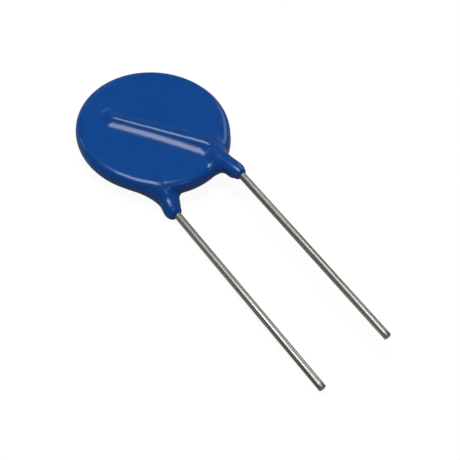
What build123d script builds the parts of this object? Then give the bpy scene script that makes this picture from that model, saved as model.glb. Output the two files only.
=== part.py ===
"""Disc varistor with two radial leads, lying on its rear side. Millimetres, +Z up.

A sintered zinc-oxide disc carries a fired silver electrode on each face. A tinned copper wire is soldered
slantwise across each electrode and bent to run down beside the other wire, and the whole is dipped in epoxy.
The coat follows what it covers: a low ridge over each soldered wire, and a tapered boot where it leaves the
disc. Everything is drawn about the disc's centre, with the leads along -Y, and laid down at the end.
"""

import os
from math import acos, atan2, cos, hypot, radians, sin, sqrt, tan

from build123d import *

# Zinc-oxide disc
CERAMIC_D = 14.2
CERAMIC_T = 1.45

# Silver electrodes, with a bare ring of ceramic left outside them
ELECTRODE_T = 0.02
BARE_RING = 0.7

# Lead wires: spacing on the board, gauge, and reach from the disc's centre to the cut end
LEAD_PITCH = 7.5
WIRE_D = 0.8
LEAD_REACH = 34.0
CUT_CHAMFER = 0.05

# Route of the wire: where it bends, inside the coat's edge, how close it passes to the disc's centre, and
# how far past that nearest point it ends
BEND_INSET = 1.3
BEND_R = 1.8
PASS_BY = 0.95
PAST_CENTRE = 4.2

# Solder: film under the wire, foot beside it, bare electrode left at its end, and the run past the wire's tip
SOLDER_FILM = 0.06
SOLDER_FOOT = 0.35
SOLDER_INSET = 0.4
SOLDER_PAST_TIP = 0.3
SOLDER_RISE_SHARE = 0.6

# Epoxy coat: thickness on the faces, round the edge and over the wire. On the lead side the edge is drawn out
# by this much more, over this angle to each side of the lead direction
COAT_ON_FACE = 0.435
COAT_ON_EDGE = 1.27
COAT_ON_WIRE = 0.25
DRAWN_OUT = 0.45
DRAWN_OUT_ANGLE = 57.0

# Boots: widest radius, radius and length of the bevelled end, and how far each reaches below the disc's edge
BOOT_R = 1.0
BOOT_END_R = 0.62
BOOT_END_BEVEL = 0.2
FRONT_BOOT_DROP = 2.6
REAR_BOOT_DROP = 1.85

# Meniscus of epoxy where a ridge or a boot meets the disc
MENISCUS_R = 1.4

# Radii, and heights above the disc's middle plane
wire_r = WIRE_D / 2
ridge_r = wire_r + COAT_ON_WIRE
coat_r = CERAMIC_D / 2 + COAT_ON_EDGE
electrode_r = CERAMIC_D / 2 - BARE_RING
ceramic_top = CERAMIC_T / 2
electrode_top = ceramic_top + ELECTRODE_T
coat_top = electrode_top + COAT_ON_FACE
wire_z = electrode_top + SOLDER_FILM + wire_r

# The bend on the front face, and the slant of the soldered stretch against the lead
lead_x = LEAD_PITCH / 2
bend_y = BEND_INSET - sqrt(coat_r**2 - lead_x**2)
slant = acos(-PASS_BY / hypot(lead_x, bend_y)) - atan2(-bend_y, lead_x)
inward = Vector(-sin(slant), cos(slant))
nearest = Vector(-cos(slant), -sin(slant)) * PASS_BY
tip = nearest + inward * PAST_CENTRE
neck_y = bend_y - BEND_R * tan(slant / 2)


def wire_route(end_y):
    """Centre line of the front wire, from its soldered tip round the bend to end_y."""
    corner = (lead_x, bend_y, wire_z)
    return FilletPolyline((tip.X, tip.Y, wire_z), corner, (lead_x, end_y, wire_z), radius=BEND_R)


def round_bar(route, radius):
    """Round bar along a level route, one face to each of its stretches, with the seam line on top."""
    section = Plane(origin=route @ 0, x_dir=(0, 0, 1), z_dir=route % 0) * Circle(radius)
    return sweep(section, path=route, clean=False)


def turned_over(shape):
    """The same piece on the rear face: half a turn about the lead direction."""
    return Rot(Y=180) * shape


def ceramic_disc():
    """Pressed and sintered disc."""
    return Cylinder(CERAMIC_D / 2, CERAMIC_T)


def electrode():
    """Silver layer on the ceramic's front face."""
    on_face = (Align.CENTER, Align.CENTER, Align.MIN)
    return Pos(Z=ceramic_top) * Cylinder(electrode_r, ELECTRODE_T, align=on_face)


def lead(drop):
    """Front lead: one wire, cut off square. The stretch outside the boot is a face of its own, because that
    is what goes into a board's hole."""
    exit_y = -coat_r - drop
    free_stretch = Line((lead_x, -LEAD_REACH, wire_z), (lead_x, exit_y, wire_z))
    wire = round_bar(Wire([free_stretch, *wire_route(exit_y).edges()[::-1]]), wire_r)
    return chamfer(wire.faces().sort_by(Axis.Y)[0].edges(), CUT_CHAMFER)


def solder(wire):
    """Solder under the front wire, drawn up both its sides in a hollow curve."""
    foot = wire_r + SOLDER_FOOT
    rise = wire_r * SOLDER_RISE_SHARE
    brow = sqrt(wire_r**2 - (wire_r - rise) ** 2)
    far_end = sqrt(electrode_r**2 - (PASS_BY + foot) ** 2) - SOLDER_INSET
    start = tip + inward * SOLDER_PAST_TIP
    across = Plane((start.X, start.Y, electrode_top), x_dir=(inward.Y, -inward.X, 0), z_dir=-inward)
    with BuildSketch(across) as section:
        with BuildLine():
            Line((-foot, 0), (foot, 0))
            TangentArc((foot, 0), (brow, SOLDER_FILM + rise), tangent=(-1, 0))
            Line((brow, SOLDER_FILM + rise), (-brow, SOLDER_FILM + rise))
            TangentArc((-foot, 0), (-brow, SOLDER_FILM + rise), tangent=(1, 0))
        make_face()
    return extrude(section.sketch, PAST_CENTRE + SOLDER_PAST_TIP + far_end) - wire


def coated_disc():
    """The dipped disc without its ridges: flat faces and a full round edge, drawn out on the lead side."""
    fuller_arc = 2 * DRAWN_OUT_ANGLE
    spread = cos(radians(DRAWN_OUT_ANGLE))
    fuller_y = -DRAWN_OUT / (1 - spread)
    fuller_r = coat_r + fuller_y * spread
    with BuildSketch() as flat:
        with BuildLine():
            round_side = CenterArc((0, 0), coat_r - coat_top, DRAWN_OUT_ANGLE - 90, 360 - fuller_arc)
            lead_side = CenterArc((0, fuller_y), fuller_r - coat_top, -90 - DRAWN_OUT_ANGLE, fuller_arc)
            Line(round_side @ 1, lead_side @ 0)
            Line(lead_side @ 1, round_side @ 0)
        make_face()
    around = flat.sketch.face().outer_wire()
    outwards = (around % 0).cross(Vector(0, 0, 1))
    with BuildSketch(Plane(around @ 0, x_dir=outwards, z_dir=around % 0)) as half_round:
        with BuildLine():
            Line((0, -coat_top), (0, coat_top))
            ThreePointArc((0, coat_top), (coat_top, 0), (0, -coat_top))
        make_face()
    return extrude(flat.sketch, coat_top, both=True) + sweep(half_round.sketch, path=around)


def boot(drop):
    """Boot round the front lead: it flares out from the ridge, hollow enough for the meniscus to follow, and
    tapers to a blunt end on the wire."""
    exit_y = -coat_r - drop
    widest_y = neck_y - sqrt(6 * MENISCUS_R * (BOOT_R - ridge_r))
    end_y = exit_y + BOOT_END_BEVEL
    upright = Plane((lead_x, 0, wire_z), x_dir=(0, 1, 0), z_dir=(1, 0, 0))
    with BuildSketch(upright) as section:
        with BuildLine():
            taper = Polyline((widest_y, BOOT_R), (end_y, BOOT_END_R), (exit_y, wire_r), (exit_y, 0))
            Polyline((exit_y, 0), (neck_y, 0), (neck_y, ridge_r))
            Spline((neck_y, ridge_r), (widest_y, BOOT_R), tangents=((-1, 0), taper % 0))
        make_face()
    return revolve(section.sketch, Axis((lead_x, 0, wire_z), (0, 1, 0)))


def wire_cover(drop):
    """Epoxy over the front wire: a round-ended ridge on the face, running into its boot."""
    ridge = round_bar(wire_route(neck_y - ridge_r), ridge_r)
    ridge_end = Plane((tip.X, tip.Y, wire_z), x_dir=(0, 0, 1), z_dir=inward) * Sphere(ridge_r)
    return ridge + ridge_end + boot(drop)


def with_meniscus(body, cover):
    """Join a cover to the disc, with the epoxy drawn up along the whole line where they meet."""
    joined = body + cover
    return joined.fillet(MENISCUS_R, new_edges(body, cover, combined=joined))


def epoxy_coating(covered):
    """The cured coat: the dipped form, less everything that it covers."""
    coat = with_meniscus(coated_disc(), wire_cover(FRONT_BOOT_DROP))
    coat = with_meniscus(coat, turned_over(wire_cover(REAR_BOOT_DROP)))
    for piece in covered:
        coat -= piece
    return coat


front_lead = lead(FRONT_BOOT_DROP)
front_solder = solder(front_lead)
pieces = {
    "ceramic_disc": ceramic_disc(),
    "front_electrode": electrode(),
    "rear_electrode": turned_over(electrode()),
    "front_lead": front_lead,
    "rear_lead": turned_over(lead(REAR_BOOT_DROP)),
    "front_solder": front_solder,
    "rear_solder": turned_over(front_solder),
}
pieces["epoxy_coating"] = epoxy_coating(list(pieces.values()))

# Laid on its rear side, with the origin on the table below the middle of its outline
lying = Pos(Y=(LEAD_REACH - coat_r) / 2, Z=-pieces["epoxy_coating"].bounding_box().min.Z)
os.makedirs("parts", exist_ok=True)
for name, shape in pieces.items():
    export_step(lying * shape, f"parts/{name}.step")
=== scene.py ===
from math import cos, pi, radians, sin, sqrt, tan

import bmesh
import bpy
import numpy as np
from mathutils import Matrix, Vector, noise


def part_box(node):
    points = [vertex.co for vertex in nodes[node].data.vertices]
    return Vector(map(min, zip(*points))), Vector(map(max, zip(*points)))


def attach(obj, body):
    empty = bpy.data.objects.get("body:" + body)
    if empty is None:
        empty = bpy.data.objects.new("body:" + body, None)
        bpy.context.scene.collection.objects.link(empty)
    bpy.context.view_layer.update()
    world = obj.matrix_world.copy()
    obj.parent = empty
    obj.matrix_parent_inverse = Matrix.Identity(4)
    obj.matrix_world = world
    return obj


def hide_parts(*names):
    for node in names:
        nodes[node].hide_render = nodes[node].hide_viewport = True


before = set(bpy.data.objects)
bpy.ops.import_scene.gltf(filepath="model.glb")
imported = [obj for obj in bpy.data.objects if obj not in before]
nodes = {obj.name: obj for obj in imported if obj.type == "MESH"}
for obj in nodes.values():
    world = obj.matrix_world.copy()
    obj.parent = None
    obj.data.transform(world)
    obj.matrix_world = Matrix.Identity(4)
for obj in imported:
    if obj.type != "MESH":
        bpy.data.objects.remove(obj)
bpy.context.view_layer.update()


# Ceramic disc: the varistor itself, pressed from zinc-oxide powder and sintered.
# Dark grey-green, matt and fine-grained. It sits in the middle of the coat, out of sight.
MM = 0.001


def new_finish(name, roughness, metallic=0.0):
    """A material with one Principled shader; returns the material, its nodes, its links and the shader."""
    material = bpy.data.materials.new(name)
    material.use_nodes = True
    tree = material.node_tree
    shader = tree.nodes["Principled BSDF"]
    shader.inputs["Roughness"].default_value = roughness
    shader.inputs["Metallic"].default_value = metallic
    return material, tree.nodes, tree.links, shader


def grain(tree_nodes, links, scale, detail=4.0, harshness=0.5, stretch=(1, 1, 1)):
    """Noise on Object coordinates, scale in lumps per metre; returns the noise node."""
    coords = tree_nodes.new("ShaderNodeTexCoord")
    mapping = tree_nodes.new("ShaderNodeMapping")
    mapping.inputs["Scale"].default_value = stretch
    lumps = tree_nodes.new("ShaderNodeTexNoise")
    lumps.inputs["Scale"].default_value = scale
    lumps.inputs["Detail"].default_value = detail
    lumps.inputs["Roughness"].default_value = harshness
    links.new(coords.outputs["Object"], mapping.inputs["Vector"])
    links.new(mapping.outputs["Vector"], lumps.inputs["Vector"])
    return lumps


def shades(tree_nodes, links, source, dark, light, spread=0.2):
    """Two shades, mixed by a noise within the given spread about its mean; returns the ramp node."""
    ramp = tree_nodes.new("ShaderNodeValToRGB")
    ramp.color_ramp.elements[0].position = 0.5 - spread
    ramp.color_ramp.elements[0].color = (*dark, 1)
    ramp.color_ramp.elements[1].position = 0.5 + spread
    ramp.color_ramp.elements[1].color = (*light, 1)
    links.new(source.outputs["Fac"], ramp.inputs["Fac"])
    return ramp


def relief(tree_nodes, links, source, shader, height, strength):
    """Bump of the given height in metres, from a noise."""
    bump = tree_nodes.new("ShaderNodeBump")
    bump.inputs["Strength"].default_value = strength
    bump.inputs["Distance"].default_value = height
    links.new(source.outputs["Fac"], bump.inputs["Height"])
    links.new(bump.outputs["Normal"], shader.inputs["Normal"])


sintered, tree_nodes, links, shader = new_finish("sintered_zinc_oxide", roughness=0.8)
speckle = grain(tree_nodes, links, scale=9000)
colour = shades(tree_nodes, links, speckle, dark=(0.10, 0.11, 0.10), light=(0.21, 0.22, 0.20))
links.new(colour.outputs["Color"], shader.inputs["Base Color"])
relief(tree_nodes, links, speckle, shader, height=0.01 * MM, strength=0.5)
nodes["ceramic_disc"].data.materials.clear()
nodes["ceramic_disc"].data.materials.append(sintered)


# Electrodes: a layer of silver paste, screened onto each face of the ceramic and fired.
# Pale satin metal with the faint mottle of the paste.
fired_silver, tree_nodes, links, shader = new_finish("fired_silver", roughness=0.38, metallic=1.0)
mottle = grain(tree_nodes, links, scale=3500)
colour = shades(tree_nodes, links, mottle, dark=(0.68, 0.67, 0.63), light=(0.84, 0.83, 0.80))
links.new(colour.outputs["Color"], shader.inputs["Base Color"])
relief(tree_nodes, links, mottle, shader, height=0.004 * MM, strength=0.6)
for name in ("front_electrode", "rear_electrode"):
    nodes[name].data.materials.clear()
    nodes[name].data.materials.append(fired_silver)


# Leads: two tinned copper wires, each drawn, bent once and cut off square by a shear.
# Each runs straight out of the coat, and its inner stretch lies slantwise across an electrode.
WIRE_SIDES = 48
STRAIGHT_STEPS = 40
BEND_STEPS = 10
CUT_BEVEL = 0.05 * MM
MERGE_WITHIN = 0.001 * MM
BEND_R = 1.8 * MM
BEND_Y = -6.18291 * MM
SLANT = radians(38.8)
SOLDERED_RUN = 10.73 * MM

low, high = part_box("ceramic_disc")
centre = (low + high) / 2
low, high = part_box("front_lead")
wire_r = (high.z - low.z) / 2
wire_z = (high.z + low.z) / 2 - centre.z
lead_x = high.x - wire_r - centre.x
cut_y = low.y - centre.y
neck_y = BEND_Y - BEND_R * tan(SLANT / 2)
in_place = {"front_lead": Matrix.Translation(centre),
            "rear_lead": Matrix.Translation(centre) @ Matrix.Rotation(pi, 4, "Y")}


def drawn_on(bm, ring, step):
    """Draw a ring of edges on by one step; returns the new ring."""
    drawn = bmesh.ops.extrude_edge_only(bm, edges=ring)["geom"]
    verts = [v for v in drawn if isinstance(v, bmesh.types.BMVert)]
    bmesh.ops.translate(bm, verts=verts, vec=step)
    fresh = set(verts)
    return [e for e in drawn if isinstance(e, bmesh.types.BMEdge) and fresh.issuperset(e.verts)]


def lead_mesh(name):
    """One wire from its cut end to its soldered tip, as a closed mesh in its place."""
    bm = bmesh.new()
    facing = Matrix.Rotation(pi / 2, 4, "X")
    cut = bmesh.ops.create_circle(bm, cap_ends=True, segments=WIRE_SIDES, radius=wire_r - CUT_BEVEL,
                                  matrix=Matrix.Translation((lead_x, cut_y, wire_z)) @ facing)
    ring = drawn_on(bm, list({e for v in cut["verts"] for e in v.link_edges}), (0, CUT_BEVEL, 0))
    rim = list({v for e in ring for v in e.verts})
    widen = wire_r / (wire_r - CUT_BEVEL)
    bmesh.ops.scale(bm, verts=rim, vec=(widen, 1, widen),
                    space=Matrix.Translation((-lead_x, 0, -wire_z)))
    for step in range(STRAIGHT_STEPS):
        ring = drawn_on(bm, ring, (0, (neck_y - cut_y - CUT_BEVEL) / STRAIGHT_STEPS, 0))
    bent = bmesh.ops.spin(bm, geom=ring, cent=(lead_x - BEND_R, neck_y, wire_z), axis=(0, 0, 1),
                          angle=SLANT, steps=BEND_STEPS, use_duplicate=False)["geom_last"]
    ring = [e for e in bent if isinstance(e, bmesh.types.BMEdge)]
    inward = Vector((-sin(SLANT), cos(SLANT), 0))
    ring = drawn_on(bm, ring, inward * SOLDERED_RUN)
    bmesh.ops.edgeloop_fill(bm, edges=ring)
    bmesh.ops.remove_doubles(bm, verts=bm.verts, dist=MERGE_WITHIN)
    bmesh.ops.recalc_face_normals(bm, faces=bm.faces)
    bmesh.ops.transform(bm, matrix=in_place[name], verts=bm.verts)
    for face in bm.faces:
        face.smooth = len(face.verts) == 4
    mesh = bpy.data.meshes.new("drawn_" + name)
    bm.to_mesh(mesh)
    bm.free()
    return mesh


# Tin: grey, with lines drawn along the wire that differ in shade and in polish
LINE_SPREAD = 0.13
tinned, tree_nodes, links, shader = new_finish("tinned_copper", roughness=0.6, metallic=1.0)
draw_lines = grain(tree_nodes, links, scale=5500, detail=5.0, harshness=0.8, stretch=(1, 0.006, 1))
colour = shades(tree_nodes, links, draw_lines, dark=(0.13, 0.13, 0.112), light=(0.58, 0.58, 0.525),
                spread=LINE_SPREAD)
links.new(colour.outputs["Color"], shader.inputs["Base Color"])
polish = shades(tree_nodes, links, draw_lines, dark=(0.52, 0.52, 0.52), light=(0.32, 0.32, 0.32),
                spread=LINE_SPREAD)
links.new(polish.outputs["Color"], shader.inputs["Roughness"])
relief(tree_nodes, links, draw_lines, shader, height=0.004 * MM, strength=0.25)
for name in ("front_lead", "rear_lead"):
    lead = bpy.data.objects.new("tinned_" + name, lead_mesh(name))
    bpy.context.scene.collection.objects.link(lead)
    lead.data.materials.append(tinned)
    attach(lead, "root")
    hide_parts(name)


# Solder: one run of tin solder under each wire, drawn up its sides, that holds it to the electrode.
# Bright and slightly uneven where it froze.
frozen_solder, tree_nodes, links, shader = new_finish("frozen_solder", roughness=0.25, metallic=1.0)
ripple = grain(tree_nodes, links, scale=2500)
colour = shades(tree_nodes, links, ripple, dark=(0.50, 0.51, 0.52), light=(0.70, 0.70, 0.71))
links.new(colour.outputs["Color"], shader.inputs["Base Color"])
relief(tree_nodes, links, ripple, shader, height=0.02 * MM, strength=0.6)
for name in ("front_solder", "rear_solder"):
    nodes[name].data.materials.clear()
    nodes[name].data.materials.append(frozen_solder)


# Coat: one skin of blue epoxy, left by dipping the soldered disc and curing it.
# It follows the disc and the wires. Surface tension draws it out into a hollow meniscus along each wire, and
# into a tapered boot on each lead.
COAT_TOP = 1.18 * MM
CROWN = 0.15 * MM
EDGE_R = 0.95 * MM
DRAWN_OUT_BY = 0.988 * MM
DRAWN_OUT_LESS = 0.538 * MM
COVER_AT_TIP = 0.16 * MM
COVER_AT_BEND = 0.47 * MM
SINK_SHARE = 0.7
ROOT_FADE = 2.0 * MM
ROOT_Y = -8.0 * MM
MENISCUS_NEAR = 2.0 * MM
MENISCUS_FAR = 3.6 * MM
BLUNT_END = 0.5 * MM
BOOT_BEGINS = 1.8 * MM
BOOT_RUN = 1.8 * MM
SKIN_GRID = 0.09 * MM
ROUGH_SMOOTHINGS = 10
SETTLINGS = 8
LEAST_SLOPE = 0.2
PROBE = 0.002 * MM
WAVE_LENGTH = 1.5 * MM
WAVE_HEIGHT = 0.006 * MM
SOFTENINGS = 4
SOFTENING = 0.5

low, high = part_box("epoxy_coating")
coat_r = (high.x - low.x) / 2
front_exit_y = low.y - centre.y
# Boots: where each ends on its lead, the radius of its blunt tip, its widest radius and where that is, how far it
# leans there towards the disc's middle plane, how far its root lies inwards of the lead and its tip outwards, and
# how hollow its root is between the leads and on the outside
front_boot = {"exit": front_exit_y, "tip_r": 0.72 * MM, "widest_r": 0.95 * MM, "widest": -9.8 * MM,
              "lean": 0.15 * MM, "root_in": 0.35 * MM, "tip_out": -0.05 * MM, "hollow_inside": 1.3 * MM,
              "hollow_outside": 0.7 * MM}
rear_boot = {"exit": front_exit_y + 0.75 * MM, "tip_r": 0.84 * MM, "widest_r": 1.08 * MM, "widest": -8.8 * MM,
             "lean": 0.07 * MM, "root_in": 0.4 * MM, "tip_out": 0.12 * MM, "hollow_inside": 0.7 * MM,
             "hollow_outside": 2.0 * MM}


def eased(share):
    """A share from 0 to 1 that starts and stops gently."""
    share = np.clip(share, 0, 1)
    return share**2 * (3 - 2 * share)


def to_dipped_disc(x, y, z):
    """Distance to the disc without ridges: crowned faces and a round edge, drawn out on the lead side."""
    flat_r = coat_r - EDGE_R
    slope = DRAWN_OUT_LESS / DRAWN_OUT_BY
    side = sqrt(1 - slope**2)
    along = side * -y - slope * np.abs(x)
    outline = np.select([along < 0, along > side * DRAWN_OUT_BY],
                        [np.hypot(x, y) - flat_r, np.hypot(x, y + DRAWN_OUT_BY) - flat_r + DRAWN_OUT_LESS],
                        side * np.abs(x) + slope * -y - flat_r)
    top = COAT_TOP - CROWN * np.minimum((x**2 + y**2) / flat_r**2, 1)
    return np.hypot(np.maximum(outline, 0), np.maximum(np.abs(z) - top + EDGE_R, 0)) - EDGE_R


def nearest_on_wire(x, y, tip_y):
    """The nearest place on the front wire's centre line, in plan: soldered stretch, bend, or lead down to tip_y.

    Also returns how far that is along the soldered stretch."""
    pivot_x = lead_x - BEND_R
    turn = np.arctan2(y - neck_y, x - pivot_x)
    along = (y - neck_y) * cos(SLANT) - (x - pivot_x) * sin(SLANT)
    along = np.clip(along, 0, SOLDERED_RUN)
    soldered_x = pivot_x + BEND_R * cos(SLANT) - along * sin(SLANT)
    soldered_y = neck_y + BEND_R * sin(SLANT) + along * cos(SLANT)
    straight_y = np.clip(y, tip_y, neck_y)
    at_lead = np.hypot(x - lead_x, y - straight_y) < np.hypot(x - soldered_x, y - soldered_y)
    at_bend = (turn > 0) & (turn < SLANT)
    return (np.select([at_bend, at_lead], [pivot_x + BEND_R * np.cos(turn), lead_x], soldered_x),
            np.select([at_bend, at_lead], [neck_y + BEND_R * np.sin(turn), straight_y], soldered_y),
            along)


def to_side(x, y, z, boot):
    """Distance to the disc with the front wire's cover on it: a ridge that swells into its boot, with a round tip.

    Where they meet, the meniscus is as hollow as a ball that touches both: one that rolls along the ridge on the
    face, and one that rolls round the boot where it stands off the edge."""
    tip_y = boot["exit"] + BLUNT_END * sqrt(1 - (wire_r / boot["tip_r"])**2)
    wire_x, wire_y, along = nearest_on_wire(x, y, tip_y)
    ridge_r = wire_r + COVER_AT_BEND + (COVER_AT_TIP - COVER_AT_BEND) * along / SOLDERED_RUN
    swell = eased((neck_y - wire_y) / (neck_y - boot["widest"]))
    taper = np.clip((boot["widest"] - wire_y) / (boot["widest"] - tip_y), 0, 1)**2
    cover_r = ridge_r + (boot["widest_r"] - ridge_r) * swell - (boot["widest_r"] - boot["tip_r"]) * taper
    sunk = SINK_SHARE * (ridge_r - wire_r - COVER_AT_TIP)
    cover_z = wire_z - (sunk + (boot["lean"] - sunk) * swell) * (1 - taper)
    shift = eased((wire_y - tip_y) / (ROOT_Y - tip_y)) * eased(1 - (wire_y - neck_y) / ROOT_FADE)
    towards_tip = eased((neck_y - wire_y) / (neck_y - tip_y))
    cover_x = wire_x - boot["root_in"] * shift + boot["tip_out"] * towards_tip
    blunt = np.where(y < tip_y, boot["tip_r"] / BLUNT_END, 1)
    reach = np.hypot(np.hypot(x - cover_x, (y - wire_y) * blunt), z - cover_z)
    above, beside = to_dipped_disc(x, y, z), reach - cover_r
    plain = np.minimum(above, beside)

    wire_above = to_dipped_disc(cover_x, wire_y, cover_z)
    level = np.sqrt(np.maximum(reach**2 - (above - wire_above)**2, 0))
    far_side = eased(0.5 + ((x - cover_x) * cos(SLANT) + (y - wire_y) * sin(SLANT)) / (2 * cover_r))
    ball = MENISCUS_NEAR + (MENISCUS_FAR - MENISCUS_NEAR) * far_side
    ball_level = np.sqrt(np.maximum((cover_r + ball)**2 - (ball - wire_above)**2, 0))
    under_ball = (level < ball_level) & ((above - wire_above) * ball_level < (ball - wire_above) * level)
    along_ridge = np.where(under_ball, ball - np.hypot(ball_level - level, ball - above), plain)

    outer_side = eased(0.5 + (x - lead_x) / (2 * boot["widest_r"]))
    hollow = boot["hollow_inside"] + (boot["hollow_outside"] - boot["hollow_inside"]) * outer_side
    round_boot = (np.maximum(hollow, plain)
                  - np.hypot(np.maximum(hollow - above, 0), np.maximum(hollow - beside, 0)))
    stands_off = eased((neck_y + BOOT_BEGINS - wire_y) / BOOT_RUN)
    return along_ridge + (round_boot - along_ridge) * stands_off


def to_skin(points):
    """Distance to the coat's outside, from points about the disc's centre."""
    x, y, z = points.T
    return np.minimum(to_side(x, y, z, front_boot), to_side(-x, y, -z, rear_boot))


# Rough form from a beaded disc, two bars and two cones, made one closed skin on a fine grid
DISC_SIDES = 128
BAR_SIDES = 32
BEAD_STEPS = 6
BEAD = 0.95 * COAT_TOP
LEVEL_WITHIN = 0.1 * MM
bm = bmesh.new()
bmesh.ops.create_cone(bm, cap_ends=True, segments=DISC_SIDES, radius1=coat_r, radius2=coat_r,
                      depth=2 * COAT_TOP)
edges = [e for e in bm.edges if abs(e.verts[0].co.z - e.verts[1].co.z) < LEVEL_WITHIN]
bmesh.ops.bevel(bm, geom=edges, offset=BEAD, affect="EDGES", segments=BEAD_STEPS, profile=0.5, material=-1)
for turned, boot in ((0, front_boot), (pi, rear_boot)):
    facing = Matrix.Rotation(turned, 4, "Y")
    ridge_r = wire_r + COVER_AT_TIP
    bar_run = SOLDERED_RUN + 2 * ridge_r
    middle = Vector((lead_x, BEND_Y, wire_z)) + Vector((-sin(SLANT), cos(SLANT), 0)) * bar_run / 2
    bar = Matrix.Translation(middle) @ Matrix.Rotation(SLANT, 4, "Z") @ Matrix.Rotation(pi / 2, 4, "X")
    bmesh.ops.create_cone(bm, cap_ends=True, segments=BAR_SIDES, radius1=ridge_r, radius2=ridge_r,
                          depth=bar_run, matrix=facing @ bar)
    middle = Vector((lead_x, (BEND_Y + boot["exit"]) / 2, wire_z))
    cone = Matrix.Translation(middle) @ Matrix.Rotation(pi / 2, 4, "X")
    bmesh.ops.create_cone(bm, cap_ends=True, segments=BAR_SIDES, radius1=boot["widest_r"], radius2=boot["tip_r"],
                          depth=BEND_Y - boot["exit"], matrix=facing @ cone)
rough = bpy.data.meshes.new("rough_coat")
bm.to_mesh(rough)
bm.free()
coat = bpy.data.objects.new("dipped_coat", rough)
bpy.context.scene.collection.objects.link(coat)
one_skin = coat.modifiers.new("one_skin", "REMESH")
one_skin.mode = "VOXEL"
one_skin.voxel_size = SKIN_GRID
softened = coat.modifiers.new("softened", "SMOOTH")
softened.factor = SOFTENING
softened.iterations = ROUGH_SMOOTHINGS
evaluated = coat.evaluated_get(bpy.context.evaluated_depsgraph_get())
skin = bpy.data.meshes.new_from_object(evaluated)
coat.modifiers.clear()
coat.data = skin

# Surface tension: every point of the skin settles onto the smooth form
points = np.empty(3 * len(skin.vertices))
skin.vertices.foreach_get("co", points)
points = points.reshape(-1, 3)
for settle in range(SETTLINGS):
    slopes = np.empty_like(points)
    for axis in range(3):
        nudge = np.eye(3)[axis] * PROBE
        slopes[:, axis] = (to_skin(points + nudge) - to_skin(points - nudge)) / (2 * PROBE)
    steep = np.maximum((slopes**2).sum(1), LEAST_SLOPE)
    points -= slopes * (to_skin(points) / steep)[:, None]
outwards = slopes / np.linalg.norm(slopes, axis=1)[:, None]
waves = np.array([noise.noise(Vector(p) / WAVE_LENGTH) for p in points])
points += outwards * (WAVE_HEIGHT * waves)[:, None]
skin.vertices.foreach_set("co", (points + np.array(centre)).ravel())
skin.update()
bm = bmesh.new()
bm.from_mesh(skin)
for softening in range(SOFTENINGS):
    bmesh.ops.smooth_vert(bm, verts=bm.verts, factor=SOFTENING, use_axis_x=True, use_axis_y=True,
                          use_axis_z=True)
for face in bm.faces:
    face.smooth = True
bm.to_mesh(skin)
bm.free()

# Epoxy: glossy blue, with faint clouds of pigment and the slight orange peel of a dipped film
blue_epoxy, tree_nodes, links, shader = new_finish("blue_epoxy", roughness=0.22)
shader.inputs["IOR"].default_value = 1.5
shader.inputs["Specular IOR Level"].default_value = 0.28
clouds = grain(tree_nodes, links, scale=700)
colour = shades(tree_nodes, links, clouds, dark=(0.0042, 0.056, 0.260), light=(0.0052, 0.064, 0.284))
links.new(colour.outputs["Color"], shader.inputs["Base Color"])
peel = grain(tree_nodes, links, scale=1200, detail=2.0)
relief(tree_nodes, links, peel, shader, height=0.01 * MM, strength=0.15)
skin.materials.clear()
skin.materials.append(blue_epoxy)
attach(coat, "root")
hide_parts("epoxy_coating")


# Table: a plain sheet of paper, wide enough to fill the view, that keeps the object's soft shadow.
# The camera sees it white. Its own grey, with a share of that white, is what the gloss and the tin mirror.
TABLE_REACH = 2.0
TABLE_GREY = 0.3
WHITE_GLOW = 1.18
SEEN_GLOW = 0.8
MIRRORED_GLOW = 0.1

bm = bmesh.new()
bmesh.ops.create_grid(bm, x_segments=1, y_segments=1, size=TABLE_REACH)
sheet = bpy.data.meshes.new("white_sheet")
bm.to_mesh(sheet)
bm.free()
table = bpy.data.objects.new("table", sheet)
bpy.context.scene.collection.objects.link(table)
white, tree_nodes, links, shader = new_finish("white_paper", roughness=0.9)
shader.inputs["Base Color"].default_value = (TABLE_GREY, TABLE_GREY, TABLE_GREY, 1)
glow = tree_nodes.new("ShaderNodeEmission")
glow.inputs["Strength"].default_value = WHITE_GLOW
rays = tree_nodes.new("ShaderNodeLightPath")


def larger(first, second):
    """The larger of two shader values."""
    pick = tree_nodes.new("ShaderNodeMath")
    pick.operation = "MAXIMUM"
    links.new(first, pick.inputs[0])
    links.new(second, pick.inputs[1])
    return pick.outputs["Value"]


def times(value, share):
    """A shader value times a fixed share."""
    scaled = tree_nodes.new("ShaderNodeMath")
    scaled.operation = "MULTIPLY"
    scaled.inputs[1].default_value = share
    links.new(value, scaled.inputs[0])
    return scaled.outputs["Value"]


blend = tree_nodes.new("ShaderNodeMixShader")
mirrored = larger(rays.outputs["Is Glossy Ray"], rays.outputs["Is Transmission Ray"])
seen = times(rays.outputs["Is Camera Ray"], SEEN_GLOW)
links.new(larger(seen, times(mirrored, MIRRORED_GLOW)), blend.inputs["Fac"])
links.new(shader.outputs["BSDF"], blend.inputs[1])
links.new(glow.outputs["Emission"], blend.inputs[2])
links.new(blend.outputs["Shader"], tree_nodes["Material Output"].inputs["Surface"])
sheet.materials.append(white)


# Studio: a large softbox almost overhead, which draws the long lights on the ridge, in a dim room.
# Smaller ones in front, on the right and behind pick out the boots, the leads and the disc's edge.
LAMP_DISTANCE = 0.5
ROOM_GLOW = 0.06


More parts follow.
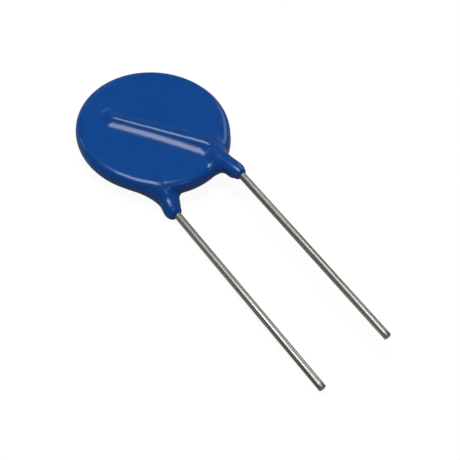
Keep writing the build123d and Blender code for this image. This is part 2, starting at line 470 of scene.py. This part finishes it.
def softbox(name, towards, width, length, radiance):
    """Area lamp that faces the disc from a direction, of an even radiance where 1 is white."""
    lamp = bpy.data.lights.new(name, "AREA")
    lamp.shape = "RECTANGLE"
    lamp.size, lamp.size_y = width, length
    lamp.energy = radiance * pi * width * length
    box = bpy.data.objects.new(name, lamp)
    bpy.context.scene.collection.objects.link(box)
    away = Vector(towards).normalized()
    box.location = centre + away * LAMP_DISTANCE
    box.rotation_euler = away.to_track_quat("Z", "Y").to_euler()


softbox("overhead_box", towards=(-0.14, 0.06, 0.98), width=0.22, length=0.26, radiance=12.0)
softbox("front_strip", towards=(0.05, -0.7, 0.7), width=0.1, length=0.06, radiance=4.0)
softbox("right_panel", towards=(0.80, 0.25, 0.54), width=0.2, length=0.24, radiance=2.5)
softbox("far_left_strip", towards=(-0.54, 0.78, 0.32), width=0.06, length=0.1, radiance=5.0)
softbox("far_strip", towards=(0.3, 0.8, 0.5), width=0.06, length=0.06, radiance=2.0)

world = bpy.data.worlds.new("dim_room")
bpy.context.scene.world = world
world.use_nodes = True
world.node_tree.nodes["Background"].inputs["Color"].default_value = (1, 1, 1, 1)
world.node_tree.nodes["Background"].inputs["Strength"].default_value = ROOM_GLOW
bpy.context.scene.view_settings.view_transform = "Standard"


# Camera: a long lens above the lead side, to the left.
# It is turned a little on its axis, as in the photograph.
CAMERA_AT = Vector((-41.54, -45.33, 82.01)) * MM
LOOKS_AT = Vector((-0.88, -2.453, 2.23)) * MM
ROLL = radians(8.92)
LENS = 76.607
SENSOR = 36.0
NEAREST = 0.005
lens = bpy.data.cameras.new("camera")
lens.lens = LENS
lens.sensor_width = SENSOR
lens.clip_start = NEAREST
camera = bpy.data.objects.new("camera", lens)
bpy.context.scene.collection.objects.link(camera)
look = (CAMERA_AT - LOOKS_AT).to_track_quat("Z", "Y").to_matrix().to_4x4()
camera.matrix_world = Matrix.Translation(CAMERA_AT) @ look @ Matrix.Rotation(ROLL, 4, "Z")
bpy.context.scene.camera = camera
